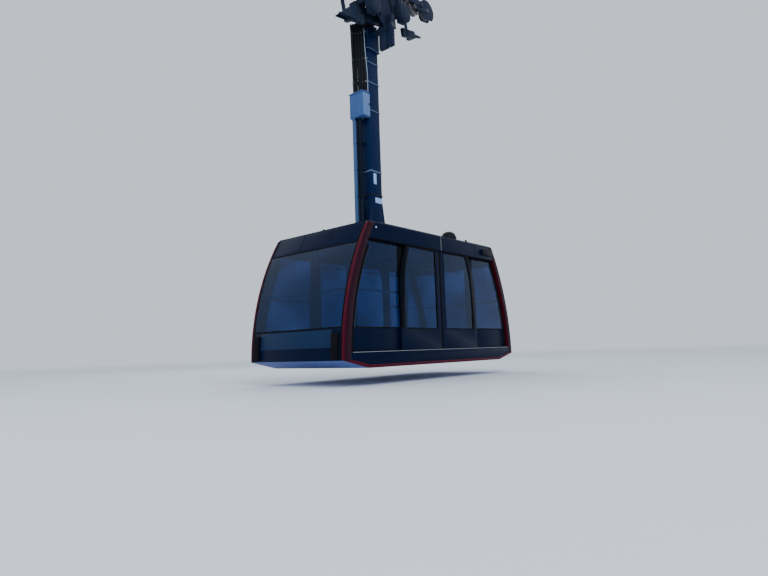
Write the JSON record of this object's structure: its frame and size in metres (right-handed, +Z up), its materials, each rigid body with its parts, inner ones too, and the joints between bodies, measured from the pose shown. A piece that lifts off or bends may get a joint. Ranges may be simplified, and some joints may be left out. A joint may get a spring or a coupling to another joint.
{
  "type": "aerial cable car cabin with hanger and carriage",
  "caption": "Large dark cable car cabin with red corner posts, tinted glass and sliding doors, hung by a box mast from a rollered carriage.",
  "frame": {"origin": "on the axis of the track rope, under the middle of the carriage", "axes": "+X along the cabin towards the upper end of the rope, +Z up, -Y the door side seen first; the rope itself rises 12.6 degrees towards +X"},
  "size_m": [5.9997, 2.74, 9.4853],
  "materials": {
    "carriage_paint": "satin",
    "bare_steel": "satin",
    "hanger_paint": "satin",
    "zinc_steel": "matte",
    "box_grey": "satin",
    "cabin_dark": "gloss",
    "cabin_red": "gloss",
    "tinted_glass": "gloss",
    "black_trim": "satin",
    "floor_rubber": "matte",
    "black_rubber": "matte",
    "rail_steel": "satin",
    "black_plastic": "satin",
    "lamp_lens": "gloss",
    "roller_iron": "satin"
  },
  "bodies": {
    "carriage": {"carriage_frame": "carriage_paint", "yoke": "carriage_paint", "hanger_pin": "bare_steel", "rope_brakes": "carriage_paint", "brake_unit": "carriage_paint", "haul_sockets": "bare_steel", "end_guards": "carriage_paint", "bogies": "carriage_paint", "rockers": "carriage_paint", "roller_axles": "bare_steel"},
    "cabin": {"hanger_mast": "hanger_paint", "hanger_head": "hanger_paint", "mast_collars": "zinc_steel", "hanger_foot": "hanger_paint", "roof_beams": "hanger_paint", "equipment_box": "box_grey", "mast_pipes": "zinc_steel", "hose_rack": "black_rubber", "roof": "cabin_dark", "end_headers": "cabin_dark", "end_windows": "tinted_glass", "end_lower_panels": "cabin_dark", "corner_posts": "cabin_red", "side_headers": "cabin_dark", "side_lower_panels": "cabin_dark", "side_windows": "tinted_glass", "door_jambs": "black_trim", "floor_panel": "floor_rubber", "side_skirts": "cabin_dark", "sill_trim": "cabin_red", "under_pan": "cabin_dark", "sill_ledges": "cabin_dark", "end_bumpers": "black_rubber", "handrails": "rail_steel", "roof_dome": "black_plastic", "marker_lamps": "lamp_lens", "header_boxes": "black_plastic"},
    "roller_1": {"roller_1": "roller_iron"},
    "roller_2": {"roller_2": "roller_iron"},
    "roller_3": {"roller_3": "roller_iron"},
    "roller_4": {"roller_4": "roller_iron"},
    "roller_5": {"roller_5": "roller_iron"},
    "roller_6": {"roller_6": "roller_iron"},
    "roller_7": {"roller_7": "roller_iron"},
    "roller_8": {"roller_8": "roller_iron"},
    "door_right_front": {"door_right_front": "cabin_dark", "door_glass_right_front": "tinted_glass"},
    "door_right_rear": {"door_right_rear": "cabin_dark", "door_glass_right_rear": "tinted_glass"},
    "door_left_front": {"door_left_front": "cabin_dark", "door_glass_left_front": "tinted_glass"},
    "door_left_rear": {"door_left_rear": "cabin_dark", "door_glass_left_rear": "tinted_glass"}
  },
  "joints": [
    {"name": "roller_1_spin", "type": "hinge", "parent": "carriage", "child": "roller_1", "pos_m": [-1.9597, 0, -0.21774], "axis": [0, 1, 0], "continuous": true},
    {"name": "roller_2_spin", "type": "hinge", "parent": "carriage", "child": "roller_2", "pos_m": [-1.41318, 0, -0.09558], "axis": [0, 1, 0], "continuous": true},
    {"name": "roller_3_spin", "type": "hinge", "parent": "carriage", "child": "roller_3", "pos_m": [-0.86667, 0, 0.02658], "axis": [0, 1, 0], "continuous": true},
    {"name": "roller_4_spin", "type": "hinge", "parent": "carriage", "child": "roller_4", "pos_m": [-0.32016, 0, 0.14874], "axis": [0, 1, 0], "continuous": true},
    {"name": "roller_5_spin", "type": "hinge", "parent": "carriage", "child": "roller_5", "pos_m": [0.22636, 0, 0.2709], "axis": [0, 1, 0], "continuous": true},
    {"name": "roller_6_spin", "type": "hinge", "parent": "carriage", "child": "roller_6", "pos_m": [0.77287, 0, 0.39306], "axis": [0, 1, 0], "continuous": true},
    {"name": "roller_7_spin", "type": "hinge", "parent": "carriage", "child": "roller_7", "pos_m": [1.31938, 0, 0.51522], "axis": [0, 1, 0], "continuous": true},
    {"name": "roller_8_spin", "type": "hinge", "parent": "carriage", "child": "roller_8", "pos_m": [1.8659, 0, 0.63738], "axis": [0, 1, 0], "continuous": true},
    {"name": "hanger_swing", "type": "hinge", "parent": "carriage", "child": "cabin", "pos_m": [0.13525, 0, -0.60507], "axis": [0, 1, 0], "range_deg": [-45, 35]},
    {"name": "door_right_front_slide", "type": "slide", "parent": "cabin", "child": "door_right_front", "axis": [1, 0, 0], "range_m": [0, 1.08]},
    {"name": "door_right_rear_slide", "type": "slide", "parent": "cabin", "child": "door_right_rear", "axis": [-1, 0, 0], "range_m": [0, 1.08]},
    {"name": "door_left_front_slide", "type": "slide", "parent": "cabin", "child": "door_left_front", "axis": [1, 0, 0], "range_m": [0, 1.08]},
    {"name": "door_left_rear_slide", "type": "slide", "parent": "cabin", "child": "door_left_rear", "axis": [-1, 0, 0], "range_m": [0, 1.08]}
  ],
  "couplings": [
    {"joint": "door_right_rear_slide", "follows": "door_right_front_slide", "ratio": 1},
    {"joint": "door_left_rear_slide", "follows": "door_left_front_slide", "ratio": 1}
  ]
}
